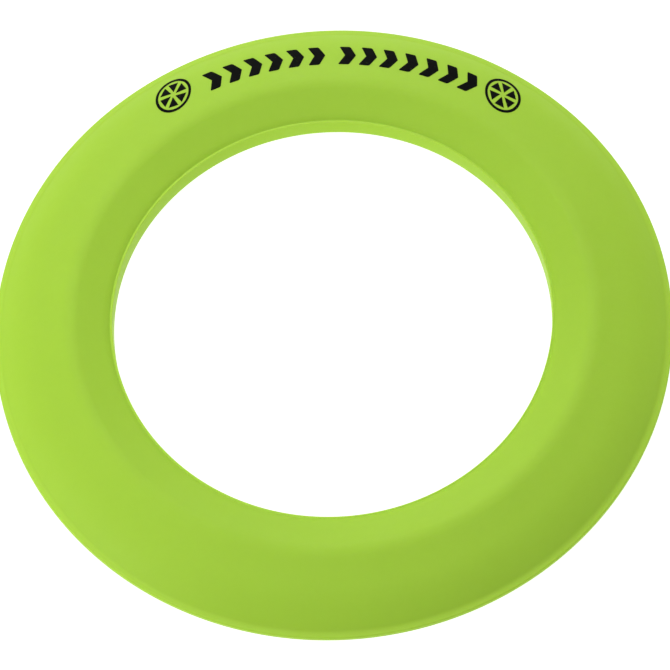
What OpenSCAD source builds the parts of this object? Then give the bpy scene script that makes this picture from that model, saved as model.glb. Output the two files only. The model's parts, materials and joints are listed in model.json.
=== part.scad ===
// Flying ring: a one-piece injection-moulded shell with an open channel
// underneath, and one layer of pad-printed ink on its outer slope.
// Frame: +Z is the flight axis, pointing out of the domed top. The origin is
// the centre of the ring on the plane that both rims rest on. The printed arc
// is centred on +Y. Millimetres.

/* [Ring] */
// Outside diameter of the ring
ring_d = 235; // [232:1:240]
// Diameter of the centre hole
hole_d = 152; // [150:0.5:153]
// Height of the crest above the rims' resting plane
crest_h = 12.2; // [11.8:0.1:12.6]
// Radial distance from the hole's wall to the crest
crest_in = 14.3; // [14:0.1:14.6]
// Radial half width of the crest's rounding
crest_half = 2.9; // [2.4:0.1:3.2]

/* [Slopes] */
// Fall of the inner slope, towards the hole, in degrees
inner_fall = 19.5; // [17:0.5:20.5]
// Fall of the inner slope just above the hole's bead, in degrees
lip_fall = 37; // [33:1:39]
// Radial width over which the inner slope curves down to the bead
lip_curve = 2.4; // [2:0.1:2.8]
// Radial width of the raised bead round the hole's edge
bead_w = 0.95; // [0.9:0.05:1.3]
// Rise of the bead's outer flank, in degrees
bead_rise = 20; // [16:1:28]
// Fall of the outer slope just outside the crest, in degrees
outer_fall = 14; // [13:0.5:14.5]
// Radial width of the straight part of the outer slope
outer_flat = 8.5; // [8:0.5:9]
// Height at which the outer slope runs out into the rim
rim_h = 3.15; // [3:0.05:3.5]
// Radial width of the rim, outside the slope
rim_w = 2.9; // [2.6:0.1:3.2]
// Fall of the rim's narrow top, in degrees
rim_fall = 10; // [4:1:14]

/* [Moulding] */
// Wall thickness of the shell
wall = 1.8; // [1.4:0.1:2]
// Thickness of the wall around the hole
lip_wall = 1.9; // [1.6:0.1:2.2]
// Radial width of the outer rim's resting face, with its rounded edges
rim_foot = 3.9; // [3.6:0.1:4.2]
// Fillet where the hole's wall joins the shell, inside the channel
lip_fillet = 1.5; // [0.8:0.1:1.8]
// Rounding of the four bottom edges
foot_r = 0.4; // [0.2:0.05:0.5]
// Number of ejector-pin witness pads in the channel
ejectors = 12; // [6:1:18]
// Diameter of an ejector-pin pad
ejector_d = 6; // [4:0.5:8]
// Number of gate stubs in the channel
gates = 3; // [2:1:4]
// Diameter of a gate stub
gate_d = 2.4; // [1.6:0.1:3]

/* [Print] */
// Thickness of the printed ink
ink = 0.06; // [0.04:0.01:0.12]
// Radius of the middle of the printed arc
print_r = 102.4; // [101:0.1:103]
// Height of a chevron, measured across the arc
chevron_h = 8.8; // [6:0.1:9]
// Width of a chevron's stroke
chevron_w = 3.9; // [2:0.1:4]
// How far a chevron's point leads its ends
chevron_lead = 2.3; // [1:0.1:3]
// Angle between neighbouring chevrons, in degrees
chevron_step = 4.25; // [4:0.05:4.4]
// Chevrons left of the middle gap
chevrons_left = 6; // [4:1:6]
// Chevrons right of the middle gap
chevrons_right = 7; // [4:1:7]
// Short width of the oval mark at each end
roundel_d = 12.4; // [10:0.2:13]
// Long width of an oval mark, relative to its short width
roundel_k = 1.36; // [1:0.01:1.4]
// Lean of an oval mark's long axis from the arc, in degrees
roundel_lean = 42; // [0:1:45]
// Blades in an oval mark
roundel_blades = 6; // [5:1:8]

/* [Hidden] */
$fn = 96;

ro = ring_d / 2;
ri = hole_d / 2;
rc = ri + crest_in;

// A slope is a chain of tangent pieces that starts at the crest and runs away
// from it. Each piece is [fall at its end, radial width, steps]; equal falls
// make a straight piece, different falls an arc. A knot is [distance from the
// crest, drop below it, fall].
function knots(piece, from) =
    let (a = from[2], b = piece[0], w = piece[1], n = piece[2])
    a == b
        ? [[from[0] + w, from[1] + w * tan(a), a]]
        : let (r = w / (sin(b) - sin(a)))
          [for (i = [1 : n]) let (c = a + (b - a) * i / n)
              [from[0] + r * (sin(c) - sin(a)), from[1] + r * (cos(a) - cos(c)), c]];
function chain(pieces, from, k = 0) =
    k == len(pieces)
        ? []
        : let (s = knots(pieces[k], from))
          concat(s, chain(pieces, s[len(s) - 1], k + 1));
crest = [0, 0, 0];

// A knot as a point of the section. Side is 1 outside the crest and -1
// inside it; in is how far the point lies under the top surface.
function pt(k, side, in = 0) =
    [rc + side * (k[0] - in * sin(k[2])), crest_h - k[1] - in * cos(k[2])];
function rev(v) = [for (i = [len(v) - 1 : -1 : 0]) v[i]];

// Widths of the outer slope's curved shoulder and of the inner slope's flat
shoulder_w = ro - rc - crest_half - outer_flat - rim_w;
inner_flat = crest_in - crest_half - lip_curve - bead_w;

// Fall at the foot of the shoulder that brings it down to rim_h: an arc drops
// by its radial width times the tangent of its mean fall
shoulder_drop = crest_h - crest_half * tan(outer_fall / 2) - outer_flat * tan(outer_fall) - rim_h;
shoulder_fall = 2 * atan(shoulder_drop / shoulder_w) - outer_fall;

roof_out = [[outer_fall, crest_half, 7], [outer_fall, outer_flat, 1]];
shoulder = [[shoulder_fall, shoulder_w, 16]];
rim = [[rim_fall, rim_w * 0.7, 8], [rim_fall, rim_w * 0.14, 1], [90, rim_w * 0.16, 6]];
roof_in = [[inner_fall, crest_half, 7], [inner_fall, inner_flat, 1]];
lip = [[lip_fall, lip_curve, 6], [-bead_rise, bead_w * 0.3, 6], [-bead_rise, bead_w * 0.32, 1], [90, bead_w * 0.38, 9]];

out_top = chain(concat(roof_out, shoulder, rim), crest);
out_under = chain(concat(roof_out, shoulder), crest);
in_top = chain(concat(roof_in, lip), crest);
in_under = chain(roof_in, crest);

// Fillet between the inner slope's underside and the wall around the hole
in_end = pt(in_under[len(in_under) - 1], -1, wall + lip_fillet);
fx = ri + lip_wall + lip_fillet;
fz = in_end[1] + (fx - in_end[0]) * tan(inner_fall);

function arc(c, r, a0, a1, n) =
    [for (i = [0 : n]) let (a = a0 + (a1 - a0) * i / n) [c[0] + r * cos(a), c[1] + r * sin(a)]];
function foot(x0, x1) = concat(
    arc([x1 - foot_r, foot_r], foot_r, 0, -90, 4),
    arc([x0 + foot_r, foot_r], foot_r, 270, 180, 4)
);

// The section, from the hole's wall over the crest to the rim and back
// through the channel
module section() {
    polygon(concat(
        [for (k = rev(in_top)) pt(k, -1)],
        [[rc, crest_h]],
        [for (k = out_top) pt(k, 1)],
        foot(ro - rim_foot, ro),
        [for (k = rev(out_under)) pt(k, 1, wall)],
        [[rc, crest_h - wall]],
        [for (i = [0 : 6]) pt(in_under[i], -1, wall)],
        arc([fx, fz], lip_fillet, 90 + inner_fall, 180, 6),
        foot(ri, ri + lip_wall)
    ));
}

// Height of the channel's roof at the crest
roof = crest_h - wall;

module ring_body() {
    color([0.62, 0.80, 0.24]) {
        union() {
            rotate_extrude() section();
            for (i = [0 : ejectors - 1])
                rotate(15 + i * 360 / ejectors)
                    translate([rc, 0, roof - 0.25]) cylinder(d = ejector_d, h = 0.9);
            for (i = [0 : gates - 1])
                rotate(i * 360 / gates)
                    translate([rc, 0, roof - 0.5]) cylinder(d = gate_d, h = 1.2);
        }
    }
}

// One chevron in plan, pointing along +X, centred on the origin
module chevron() {
    h = chevron_h / 2;
    l = chevron_lead / 2;
    w = chevron_w / 2;
    polygon([[-l - w, h], [-l + w, h], [l + w, 0], [-l + w, -h], [-l - w, -h], [l - w, 0]]);
}

// An end mark before it is stretched: a thin circle round a pinwheel of
// straight blades
module roundel() {
    r = roundel_d / 2;
    difference() {
        circle(r = r, $fn = 60);
        circle(r = r - 0.9, $fn = 60);
    }
    for (i = [0 : roundel_blades - 1])
        rotate(i * 360 / roundel_blades)
            polygon([[0.9, 0.25], [r - 1.6, 0.25], [(r - 1.6) * cos(46), (r - 1.6) * sin(46)]]);
}

// Where the marks sit, clockwise from +Y when seen from above
left_arc = [for (i = [1 : chevrons_left]) -(i - 0.5) * chevron_step - 2.3];
right_arc = [for (i = [1 : chevrons_right]) (i - 0.5) * chevron_step - 0.4];
end_left = -34.2;
end_right = 34.2;

module marks() {
    for (a = concat(left_arc, right_arc))
        rotate(-a) translate([0, print_r]) chevron();
    for (a = [end_left, end_right])
        rotate(-a) translate([0, print_r + 2.1]) rotate(-sign(a) * roundel_lean)
            scale([roundel_k, 1]) roundel();
}

// The ink film lies on the outer slope and follows it exactly
film = chain(shoulder, out_under[7]);
module arc_print() {
    flat0 = [out_under[7][0] - 7, out_under[7][1] - 7 * tan(outer_fall), outer_fall];
    low = [for (k = concat([flat0, out_under[7]], film)) pt(k, 1)];
    high = [for (k = concat([flat0, out_under[7]], film)) pt(k, 1, -ink)];
    color([0.05, 0.05, 0.05])
        intersection() {
            rotate_extrude() polygon(concat(low, rev(high)));
            linear_extrude(height = crest_h + 5) marks();
        }
}

ring_body();
arc_print();
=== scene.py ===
import json
import math

import bpy
from mathutils import Matrix, Vector


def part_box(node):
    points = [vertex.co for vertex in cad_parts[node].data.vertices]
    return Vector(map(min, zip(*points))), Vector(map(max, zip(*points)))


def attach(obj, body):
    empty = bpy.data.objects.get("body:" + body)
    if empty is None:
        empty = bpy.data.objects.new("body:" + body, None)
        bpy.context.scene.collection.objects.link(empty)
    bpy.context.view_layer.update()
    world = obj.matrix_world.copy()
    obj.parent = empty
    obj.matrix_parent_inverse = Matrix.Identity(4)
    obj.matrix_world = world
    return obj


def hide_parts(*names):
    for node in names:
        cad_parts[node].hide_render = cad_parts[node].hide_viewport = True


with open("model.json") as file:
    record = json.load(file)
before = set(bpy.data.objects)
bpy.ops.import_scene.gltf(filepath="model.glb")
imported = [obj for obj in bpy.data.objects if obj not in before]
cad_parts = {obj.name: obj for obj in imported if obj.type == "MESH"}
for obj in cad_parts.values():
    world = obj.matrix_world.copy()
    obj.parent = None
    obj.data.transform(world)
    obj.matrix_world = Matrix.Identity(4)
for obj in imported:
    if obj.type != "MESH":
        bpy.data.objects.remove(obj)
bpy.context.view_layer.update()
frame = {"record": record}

MM = 0.001
D2R = math.pi / 180.0
scene = bpy.context.scene


# ---------------------------------------------------------------- section
# The ring's section in millimetres: radius outwards, height above the rims'
# resting plane. Every piece of it is tangent to the next.
RING_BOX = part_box("ring_body")
RO = RING_BOX[1][0] / MM                    # outer radius
CREST_H = RING_BOX[1][2] / MM               # crest height
HOLE = [m for m in frame["record"]["mounts"] if m["name"] == "hole"][0]
RI = HOLE["dims"]["r_mm"]                   # hole radius
CREST_IN, CREST_HALF = 14.3, 2.9
RC = RI + CREST_IN
INNER_FALL, OUTER_FALL = 19.5, 14.0
LIP_FALL, LIP_CURVE, BEAD_W, BEAD_RISE = 37.0, 2.4, 0.95, 20.0
OUTER_FLAT, RIM_H, RIM_W, RIM_FALL = 8.5, 3.15, 2.9, 10.0
WALL, LIP_WALL, RIM_FOOT, LIP_FILLET, FOOT_R = 1.8, 1.9, 3.9, 1.5, 0.4
SHOULDER_W = RO - RC - CREST_HALF - OUTER_FLAT - RIM_W
INNER_FLAT = CREST_IN - CREST_HALF - LIP_CURVE - BEAD_W
# the shoulder's last fall brings it down to the rim's height
SHOULDER_DROP = (CREST_H - CREST_HALF * math.tan(OUTER_FALL / 2 * D2R)
                 - OUTER_FLAT * math.tan(OUTER_FALL * D2R) - RIM_H)
SHOULDER_FALL = 2 * math.atan(SHOULDER_DROP / SHOULDER_W) / D2R - OUTER_FALL


def chain(pieces, start=(0.0, 0.0, 0.0)):
    """Knots (distance from the crest, drop, fall) along tangent pieces of
    (fall at its end, radial width, steps)."""
    out = []
    x, d, a = start
    for b, w, n in pieces:
        if abs(a - b) < 1e-9:
            for i in range(1, n + 1):
                out.append((x + w * i / n, d + w * i / n * math.tan(a * D2R), a))
        else:
            r = w / (math.sin(b * D2R) - math.sin(a * D2R))
            for i in range(1, n + 1):
                c = a + (b - a) * i / n
                out.append((x + r * (math.sin(c * D2R) - math.sin(a * D2R)),
                            d + r * (math.cos(a * D2R) - math.cos(c * D2R)), c))
        x, d, a = out[-1]
    return out


def pt(k, side, inside=0.0):
    return (RC + side * (k[0] - inside * math.sin(k[2] * D2R)),
            CREST_H - k[1] - inside * math.cos(k[2] * D2R))


def arc(c, r, a0, a1, n):
    return [(c[0] + r * math.cos((a0 + (a1 - a0) * i / n) * D2R),
             c[1] + r * math.sin((a0 + (a1 - a0) * i / n) * D2R)) for i in range(n + 1)]


def foot(x0, x1):
    return (arc((x1 - FOOT_R, FOOT_R), FOOT_R, 0, -90, 6)
            + arc((x0 + FOOT_R, FOOT_R), FOOT_R, 270, 180, 6))


ROOF_OUT = [(OUTER_FALL, CREST_HALF, 12), (OUTER_FALL, OUTER_FLAT, 6)]
SHOULDER = [(SHOULDER_FALL, SHOULDER_W, 36)]
RIM = [(RIM_FALL, RIM_W * 0.7, 14), (RIM_FALL, RIM_W * 0.14, 2), (90, RIM_W * 0.16, 12)]
ROOF_IN = [(INNER_FALL, CREST_HALF, 12), (INNER_FALL, INNER_FLAT, 6)]
LIP = [(LIP_FALL, LIP_CURVE, 12), (-BEAD_RISE, BEAD_W * 0.3, 8), (-BEAD_RISE, BEAD_W * 0.32, 2), (90, BEAD_W * 0.38, 14)]

out_top = chain(ROOF_OUT + SHOULDER + RIM)
out_under = chain(ROOF_OUT + SHOULDER)
in_top = chain(ROOF_IN + LIP)
in_under = chain(ROOF_IN)
TOP = ([pt(k, -1) for k in reversed(in_top)] + [(RC, CREST_H)] + [pt(k, 1) for k in out_top])

in_end = pt(in_under[-1], -1, WALL + LIP_FILLET)
fx = RI + LIP_WALL + LIP_FILLET
fz = in_end[1] + (fx - in_end[0]) * math.tan(INNER_FALL * D2R)

section = list(TOP)
section += foot(RO - RIM_FOOT, RO)
section += [pt(k, 1, WALL) for k in reversed(out_under)]
section += [(RC, CREST_H - WALL)]
section += [pt(k, -1, WALL) for k in in_under if pt(k, -1, WALL)[0] > fx - LIP_FILLET * math.sin(INNER_FALL * D2R) + 0.05]
section += arc((fx, fz), LIP_FILLET, 90 + INNER_FALL, 180, 8)
section += foot(RI, RI + LIP_WALL)
closed = []
for p in section:
    if not closed or math.hypot(p[0] - closed[-1][0], p[1] - closed[-1][1]) > 1e-4:
        closed.append(p)
if math.hypot(closed[0][0] - closed[-1][0], closed[0][1] - closed[-1][1]) < 1e-4:
    closed.pop()
section = closed


def top_z(r):
    """Height of the top surface at radius r, in millimetres, and its fall."""
    for (r0, z0), (r1, z1) in zip(TOP, TOP[1:]):
        if r0 <= r <= r1 and r1 > r0:
            return z0 + (z1 - z0) * (r - r0) / (r1 - r0), math.atan2(z0 - z1, r1 - r0)
    return 0.0, 0.0


# ---------------------------------------------------------------- shell
def mesh_object(name, verts, faces, sharp=None):
    me = bpy.data.meshes.new(name)
    me.from_pydata([tuple(c * MM for c in v) for v in verts], [], faces)
    me.validate()
    me.polygons.foreach_set("use_smooth", [True] * len(me.polygons))
    if sharp:
        me.set_sharp_from_angle(angle=sharp * D2R)
    me.update()
    ob = bpy.data.objects.new(name, me)
    scene.collection.objects.link(ob)
    return ob


SEG = 360
verts, faces = [], []
n = len(section)
for s in range(SEG):
    a = 2 * math.pi * s / SEG
    ca, sa = math.cos(a), math.sin(a)
    verts += [(r * ca, r * sa, z) for r, z in section]
for s in range(SEG):
    b0, b1 = s * n, ((s + 1) % SEG) * n
    for i in range(n):
        j = (i + 1) % n
        faces.append((b0 + i, b0 + j, b1 + j, b1 + i))


def disc(cx, cy, r, z_low, z_high, bevel, seg=40):
    """A round pad hanging from the channel's roof, with a rounded lower edge."""
    prof = [(r, z_high), (r, z_low + bevel)]
    prof += [(r - bevel + bevel * math.cos(t * D2R), z_low + bevel - bevel * math.sin(t * D2R)) for t in (22.5, 45, 67.5, 90)]
    prof += [(r * 0.55, z_low), (r * 0.25, z_low)]
    base = len(verts)
    for q in range(seg):
        t = 2 * math.pi * q / seg
        for pr, pz in prof:
            verts.append((cx + pr * math.cos(t), cy + pr * math.sin(t), pz))
    m = len(prof)
    for q in range(seg):
        q0, q1 = base + q * m, base + ((q + 1) % seg) * m
        for i in range(m - 1):
            faces.append((q0 + i, q1 + i, q1 + i + 1, q0 + i + 1))
    faces.append(tuple(base + q * m + m - 1 for q in reversed(range(seg))))
    faces.append(tuple(base + q * m for q in range(seg)))


ROOF = CREST_H - WALL
for i in range(12):
    a = (15 + 30 * i) * D2R
    disc(RC * math.cos(a), RC * math.sin(a), 3.0, ROOF - 0.25, ROOF + 0.65, 0.08)
for i in range(3):
    a = 120 * i * D2R
    disc(RC * math.cos(a), RC * math.sin(a), 1.2, ROOF - 0.5, ROOF + 0.7, 0.15, 28)

shell = mesh_object("moulded_shell", verts, faces, 30)

# ---------------------------------------------------------------- print
PRINT_R, CHEV_H, CHEV_W, CHEV_LEAD, CHEV_STEP = 102.4, 8.8, 3.9, 2.3, 4.25
ROUND_D, ROUND_K, ROUND_LEAN, BLADES = 12.4, 1.36, 42.0, 6
INK = 0.06
pverts, pfaces = [], []


def film(grid, turn):
    """A patch of ink from a grid of plan points, laid on the slope."""
    rows, cols = len(grid), len(grid[0])
    base = len(pverts)
    ct, st = math.cos(turn), math.sin(turn)
    for lift in (0.0, INK):
        for row in grid:
            for x, y in row:
                X, Y = x * ct - y * st, x * st + y * ct
                r = math.hypot(X, Y)
                z, fall = top_z(r)
                k = lift * math.sin(fall) / r
                pverts.append((X + X * k, Y + Y * k, z + lift * math.cos(fall)))
    off = rows * cols
    idx = lambda i, j, up: base + up * off + i * cols + j
    for i in range(rows - 1):
        for j in range(cols - 1):
            q = (idx(i, j, 1), idx(i, j + 1, 1), idx(i + 1, j + 1, 1), idx(i + 1, j, 1))
            pfaces.append(q)
            pfaces.append(tuple(reversed([v - off for v in q])))
    ring = ([(i, 0) for i in range(rows)] + [(rows - 1, j) for j in range(1, cols)]
            + [(i, cols - 1) for i in range(rows - 2, -1, -1)] + [(0, j) for j in range(cols - 2, 0, -1)])
    for (i0, j0), (i1, j1) in zip(ring, ring[1:] + ring[:1]):
        pfaces.append((idx(i0, j0, 0), idx(i1, j1, 0), idx(i1, j1, 1), idx(i0, j0, 1)))


def lerp(a, b, t):
    return (a[0] + (b[0] - a[0]) * t, a[1] + (b[1] - a[1]) * t)


def chevron(turn):
    h, l, w = CHEV_H / 2, CHEV_LEAD / 2, CHEV_W / 2
    grid = []
    for i in range(25):
        t = i / 24.0
        y = h - 2 * h * t
        m = -l + 2 * l * (1 - abs(2 * t - 1))
        # the ends' corners are rounded a little, as wet ink leaves them
        edge = h - abs(y)
        c = 0.35
        trim = c - math.sqrt(max(0.0, c * c - (c - edge) ** 2)) if edge < c else 0.0
        grid.append([(m + (w - trim) * (2 * j / 8.0 - 1), y + PRINT_R) for j in range(9)])
    film(grid, turn)


def roundel(turn):
    r = ROUND_D / 2
    cy = PRINT_R + 2.1
    lean = math.copysign(ROUND_LEAN, turn) * D2R
    cl, sl = math.cos(lean), math.sin(lean)
    put = lambda x, y: (x * ROUND_K * cl - y * sl, x * ROUND_K * sl + y * cl + cy)
    grid = []
    for q in range(97):
        t = 2 * math.pi * q / 96
        grid.append([put((r - 0.9 + 0.9 * j / 3) * math.cos(t), (r - 0.9 + 0.9 * j / 3) * math.sin(t)) for j in range(4)])
    ring_film(grid[:-1], turn)
    for b in range(BLADES):
        a = 2 * math.pi * b / BLADES
        A, B, C = (0.9, 0.25), (r - 1.6, 0.25), ((r - 1.6) * math.cos(46 * D2R), (r - 1.6) * math.sin(46 * D2R))
        spin = lambda p: put(p[0] * math.cos(a) - p[1] * math.sin(a), p[0] * math.sin(a) + p[1] * math.cos(a))
        g = []
        for i in range(9):
            s = 0.02 + 0.98 * i / 8.0
            P, Q = lerp(A, B, s), lerp(A, C, s)
            g.append([spin(lerp(P, Q, j / 6.0)) for j in range(7)])
        film(g, turn)


def ring_film(grid, turn):
    """The same for a closed band: rows go round, columns go across."""
    rows, cols = len(grid), len(grid[0])
    base = len(pverts)
    ct, st = math.cos(turn), math.sin(turn)
    for lift in (0.0, INK):
        for row in grid:
            for x, y in row:
                X, Y = x * ct - y * st, x * st + y * ct
                r = math.hypot(X, Y)
                z, fall = top_z(r)
                k = lift * math.sin(fall) / r
                pverts.append((X + X * k, Y + Y * k, z + lift * math.cos(fall)))
    off = rows * cols
    for i in range(rows):
        i1 = (i + 1) % rows
        for j in range(cols - 1):
            q = (base + off + i * cols + j, base + off + i * cols + j + 1, base + off + i1 * cols + j + 1, base + off + i1 * cols + j)
            pfaces.append(q)
            pfaces.append(tuple(reversed([v - off for v in q])))
        for j, flip in ((0, False), (cols - 1, True)):
            q = (base + i * cols + j, base + i1 * cols + j, base + off + i1 * cols + j, base + off + i * cols + j)
            pfaces.append(tuple(reversed(q)) if flip else q)


for i in range(6):
    chevron((i + 0.5) * CHEV_STEP * D2R + 2.3 * D2R)
for i in range(7):
    chevron(-((i + 0.5) * CHEV_STEP - 0.4) * D2R)
for s in (-1, 1):
    roundel(s * 34.2 * D2R)
ink = mesh_object("ink_marks", pverts, pfaces, 40)
for ob in (shell, ink):
    import bmesh
    bm = bmesh.new()
    bm.from_mesh(ob.data)
    bmesh.ops.recalc_face_normals(bm, faces=bm.faces)
    bm.to_mesh(ob.data)
    bm.free()


# ---------------------------------------------------------------- materials
class Nodes:
    def __init__(self, name):
        self.mat = bpy.data.materials.new(name)
        self.mat.use_nodes = True
        self.t = self.mat.node_tree
        self.t.nodes.clear()
        self.out = self.t.nodes.new("ShaderNodeOutputMaterial")
        self.bsdf = self.t.nodes.new("ShaderNodeBsdfPrincipled")
        self.t.links.new(self.bsdf.outputs[0], self.out.inputs["Surface"])
        self.co = self.t.nodes.new("ShaderNodeTexCoord").outputs["Object"]

    def link(self, a, b):
        self.t.links.new(a, b)

    def noise(self, scale, detail=3.0, rough=0.5, vec=None, distort=0.0):
        nd = self.t.nodes.new("ShaderNodeTexNoise")
        nd.inputs["Scale"].default_value = scale
        nd.inputs["Detail"].default_value = detail
        nd.inputs["Roughness"].default_value = rough
        nd.inputs["Distortion"].default_value = distort
        self.link(vec or self.co, nd.inputs["Vector"])
        return nd.outputs["Fac"]

    def math(self, op, a, b=None, c=None, clamp=False):
        nd = self.t.nodes.new("ShaderNodeMath")
        nd.operation = op
        nd.use_clamp = clamp
        for i, v in enumerate((a, b, c)):
            if v is None:
                continue
            if isinstance(v, (int, float)):
                nd.inputs[i].default_value = v
            else:
                self.link(v, nd.inputs[i])
        return nd.outputs[0]

    def span(self, v, a0, a1, b0, b1, smooth=False):
        nd = self.t.nodes.new("ShaderNodeMapRange")
        if smooth:
            nd.interpolation_type = "SMOOTHSTEP"
        for i, x in enumerate((a0, a1, b0, b1), 1):
            nd.inputs[i].default_value = x
        self.link(v, nd.inputs[0])
        return nd.outputs[0]

    def mix(self, f, a, b):
        nd = self.t.nodes.new("ShaderNodeMix")
        nd.data_type = "RGBA"
        for s, v in ((0, f), (6, a), (7, b)):
            if isinstance(v, (int, float)):
                nd.inputs[s].default_value = v
            elif isinstance(v, tuple):
                nd.inputs[s].default_value = (*v, 1.0)
            else:
                self.link(v, nd.inputs[s])
        return nd.outputs[2]

    def bump(self, h, dist, strength=1.0, normal=None):
        nd = self.t.nodes.new("ShaderNodeBump")
        nd.inputs["Distance"].default_value = dist
        nd.inputs["Strength"].default_value = strength
        self.link(h, nd.inputs["Height"])
        if normal is not None:
            self.link(normal, nd.inputs["Normal"])
        return nd.outputs[0]

    def radius(self):
        sep = self.t.nodes.new("ShaderNodeSeparateXYZ")
        self.link(self.co, sep.inputs[0])
        x, y, z = sep.outputs
        r2 = self.math("ADD", self.math("MULTIPLY", x, x), self.math("MULTIPLY", y, y))
        return self.math("SQRT", r2), x, y, z


def ring_plastic():
    m = Nodes("lime_polyethylene")
    r, x, y, z = m.radius()
    # pigment: a slow drift, a finer mottle and a faint radial flow pattern
    slow = m.noise(14, 2.0, 0.5)
    fine = m.noise(420, 4.0, 0.6)
    ang = m.math("ARCTAN2", y, x)
    comb = m.t.nodes.new("ShaderNodeCombineXYZ")
    m.link(m.math("MULTIPLY", ang, 3.0), comb.inputs[0])
    m.link(m.math("MULTIPLY", r, 18.0), comb.inputs[1])
    m.link(m.math("MULTIPLY", z, 18.0), comb.inputs[2])
    flow = m.noise(3.0, 3.0, 0.5, comb.outputs[0])
    col = m.mix(m.span(slow, 0.3, 0.7, 0.0, 1.0), LIME_A, LIME_B)
    col = m.mix(m.span(fine, 0.35, 0.65, 0.0, 0.22), col, LIME_C)
    col = m.mix(m.span(flow, 0.35, 0.7, 0.0, 0.18), col, LIME_D)
    # the hole's wall is shinier from the core and a touch deeper in colour
    wall = m.math("MULTIPLY", m.span(r, 0.07640, 0.07615, 0.0, 1.0, True), m.span(z, 0.0073, 0.0070, 0.0, 1.0, True))
    col = m.mix(wall, col, LIME_WALL)
    # painted highlight: a lighter colour on the thin rim and the bead's crest stands in for light coming through them
    bead = m.math("MULTIPLY", m.span(r, 0.07715, 0.07665, 0.0, 1.0, True), m.span(z, 0.0072, 0.00755, 0.0, 1.0, True))
    rim = m.math("MULTIPLY", m.span(r, 0.1148, 0.1161, 0.0, 1.0, True), m.span(r, 0.1168, 0.1174, 1.0, 0.2, True))
    painted_glow = m.math("MAXIMUM", rim, bead)
    col = m.mix(painted_glow, col, LIME_PAINTED_GLOW)
    # handling: the rim's edge and the bead are rubbed a little paler
    rub = m.math("MULTIPLY", m.span(r, 0.1163, 0.1174, 0.0, 1.0, True), m.span(z, 0.0002, 0.0012, 0.0, 1.0))
    rub = m.math("MAXIMUM", rub, bead)
    grit = m.span(m.noise(260, 5.0, 0.65), 0.48, 0.62, 0.0, 1.0)
    wear = m.math("MULTIPLY", rub, grit)
    col = m.mix(m.math("MULTIPLY", wear, 0.22), col, LIME_RUB)
    m.link(col, m.bsdf.inputs["Base Color"])
    rough = m.math("ADD", m.span(m.noise(60, 3.0, 0.6), 0.3, 0.7, ROUGH - 0.05, ROUGH + 0.05), m.math("MULTIPLY", wear, 0.12))
    rough = m.math("SUBTRACT", rough, m.math("MULTIPLY", wall, 0.05))
    m.link(rough, m.bsdf.inputs["Roughness"])
    # surface: fine spark-eroded grain over a long, shallow moulding ripple,
    # and a few hairline scuffs
    grain = m.bump(m.noise(2600, 2.0, 0.5), 0.00002, 0.55)
    ripple = m.bump(m.noise(90, 2.0, 0.5), 0.00012, 0.30, grain)
    st = m.t.nodes.new("ShaderNodeMapping")
    st.inputs["Rotation"].default_value = (0, 0, 0.6)
    st.inputs["Scale"].default_value = (0.06, 1.0, 1.0)
    m.link(m.co, st.inputs["Vector"])
    scuff = m.span(m.noise(900, 3.0, 0.6, st.outputs[0]), 0.66, 0.70, 0.0, 1.0)
    where = m.span(m.noise(22, 2.0, 0.5), 0.54, 0.68, 0.0, 1.0)
    hair = m.bump(m.math("MULTIPLY", m.math("MULTIPLY", scuff, where), -1.0), 0.000012, 0.5, ripple)
    m.link(hair, m.bsdf.inputs["Normal"])
    m.bsdf.inputs["IOR"].default_value = 1.5
    m.bsdf.inputs["Specular IOR Level"].default_value = SPEC
    m.bsdf.inputs["Subsurface Weight"].default_value = SSS
    m.bsdf.inputs["Subsurface Radius"].default_value = (0.9, 1.0, 0.25)
    m.bsdf.inputs["Subsurface Scale"].default_value = 0.0016
    return m.mat


def print_ink():
    m = Nodes("pad_print_ink")
    # the film is thin enough in places for a few pinholes to show the plastic
    pin = m.span(m.noise(1500, 2.0, 0.5), 0.74, 0.78, 0.0, 1.0)
    tone = m.mix(m.span(m.noise(200, 3.0, 0.6), 0.35, 0.65, 0.0, 1.0), (0.0006, 0.0011, 0.0005), (0.0016, 0.0023, 0.0012))
    m.link(m.mix(m.math("MULTIPLY", pin, 0.35), tone, LIME_A), m.bsdf.inputs["Base Color"])
    m.link(m.span(m.noise(500, 3.0, 0.6), 0.3, 0.7, 0.50, 0.62), m.bsdf.inputs["Roughness"])
    m.link(m.bump(m.noise(1800, 3.0, 0.6), 0.000012, 0.5), m.bsdf.inputs["Normal"])
    m.bsdf.inputs["IOR"].default_value = 1.45
    m.bsdf.inputs["Specular IOR Level"].default_value = 0.05
    return m.mat


LIME_A = (0.393, 0.650, 0.0475)
LIME_B = (0.409, 0.672, 0.0515)
LIME_C = (0.373, 0.625, 0.0435)
LIME_D = (0.421, 0.682, 0.0575)
LIME_RUB = (0.500, 0.760, 0.120)
LIME_WALL = (0.404, 0.675, 0.0270)
# the next colour is a painted highlight tint for the thin rim and the bead's crest
LIME_PAINTED_GLOW = (0.448, 0.715, 0.0630)
ROUGH, SPEC, SSS = 0.55, 0.17, 0.35

shell.data.materials.append(ring_plastic())
ink.data.materials.append(print_ink())
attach(shell, "root")
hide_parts("ring_body")
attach(ink, "root")
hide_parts("arc_print")

# ---------------------------------------------------------------- floor
me = bpy.data.meshes.new("floor")
me.from_pydata([(-6, -6, -0.00005), (6, -6, -0.00005), (6, 6, -0.00005), (-6, 6, -0.00005)], [], [(0, 1, 2, 3)])
floor = bpy.data.objects.new("floor", me)
scene.collection.objects.link(floor)
fm = Nodes("pale_floor")
fm.link(fm.mix(fm.noise(3.0, 2.0), (0.40, 0.40, 0.40), (0.42, 0.42, 0.42)), fm.bsdf.inputs["Base Color"])
fm.bsdf.inputs["Roughness"].default_value = 0.9
fm.bsdf.inputs["Specular IOR Level"].default_value = 0.1
fm.bsdf.inputs["Emission Color"].default_value = (1, 1, 1, 1)
FLOOR_GLOW = 0.88
fm.bsdf.inputs["Emission Strength"].default_value = FLOOR_GLOW
me.materials.append(fm.mat)

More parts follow.
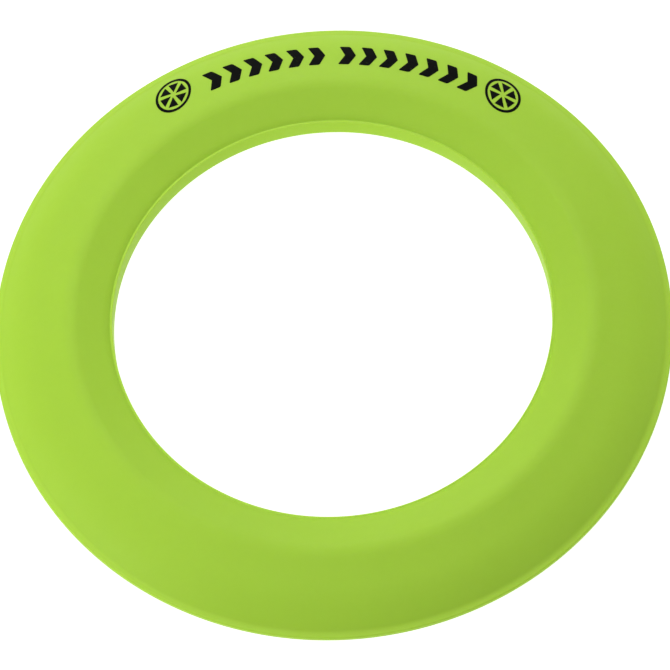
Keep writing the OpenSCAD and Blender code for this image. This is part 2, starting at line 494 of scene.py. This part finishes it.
# ---------------------------------------------------------------- light
world = scene.world or bpy.data.worlds.new("studio")
scene.world = world
world.use_nodes = True
bg = world.node_tree.nodes.get("Background") or world.node_tree.nodes.new("ShaderNodeBackground")
bg.inputs[0].default_value = (1.0, 1.0, 1.0, 1.0)
AMBIENT = 0.41
bg.inputs[1].default_value = AMBIENT

AZ, EL, ROLL = 6.4 * D2R, 63.50 * D2R, 5.54 * D2R
right = Vector((math.cos(AZ), math.sin(AZ), 0))
away = Vector((-math.sin(AZ), math.cos(AZ), 0))
up = Vector((0, 0, 1))


def soft_box(name, direction, dist, size, irradiance):
    """A square soft box that gives about this much irradiance / pi on a
    surface that faces it."""
    d = direction.normalized()
    li = bpy.data.lights.new(name, "AREA")
    li.shape = "SQUARE"
    li.size = size
    li.energy = irradiance * math.pi * math.pi * dist * dist
    ob = bpy.data.objects.new(name, li)
    ob.location = d * dist
    ob.rotation_euler = d.to_track_quat("Z", "Y").to_euler()
    scene.collection.objects.link(ob)
    return ob


def toward(az, el):
    """A direction from the ring: az from the picture's right, towards its far side."""
    a, e = az * D2R, el * D2R
    return (right * math.cos(a) + away * math.sin(a)) * math.cos(e) + up * math.sin(e)


TOP_FILL, FAR_KEY, LEFT_KEY = 0.197, 0.41, 0.246
soft_box("overhead", up * 1.0 + right * -0.04, 2.2, 1.6, TOP_FILL)
soft_box("far_key", toward(93.5, 40.3), 1.5, 0.9, FAR_KEY)
soft_box("left_key", toward(203.6, 25.0), 0.5, 0.22, LEFT_KEY)

# ---------------------------------------------------------------- camera
DIST = 5.0 * 0.235
PX = 670.0
FOCAL_PX = 2.8815 / MM * DIST
back = (right * 0 - away * math.cos(EL) + up * math.sin(EL)).normalized()
r0 = right
u0 = back.cross(r0)
R = math.cos(ROLL) * r0 - math.sin(ROLL) * u0
U = math.sin(ROLL) * r0 + math.cos(ROLL) * u0
cam = bpy.data.cameras.new("camera")
cam.sensor_width = 36.0
cam.sensor_fit = "HORIZONTAL"
cam.lens = FOCAL_PX / PX * 36.0
cam.shift_x = (335.0 - 332.68) / PX
cam.shift_y = (323.37 - 335.0) / PX
cam.clip_start, cam.clip_end = 0.05, 50
cob = bpy.data.objects.new("camera", cam)
scene.collection.objects.link(cob)
cob.matrix_world = Matrix((
    (R.x, U.x, back.x, back.x * DIST),
    (R.y, U.y, back.y, back.y * DIST),
    (R.z, U.z, back.z, back.z * DIST),
    (0, 0, 0, 1)))
scene.camera = cob
scene.view_settings.view_transform = "Standard"
scene.view_settings.look = "None"
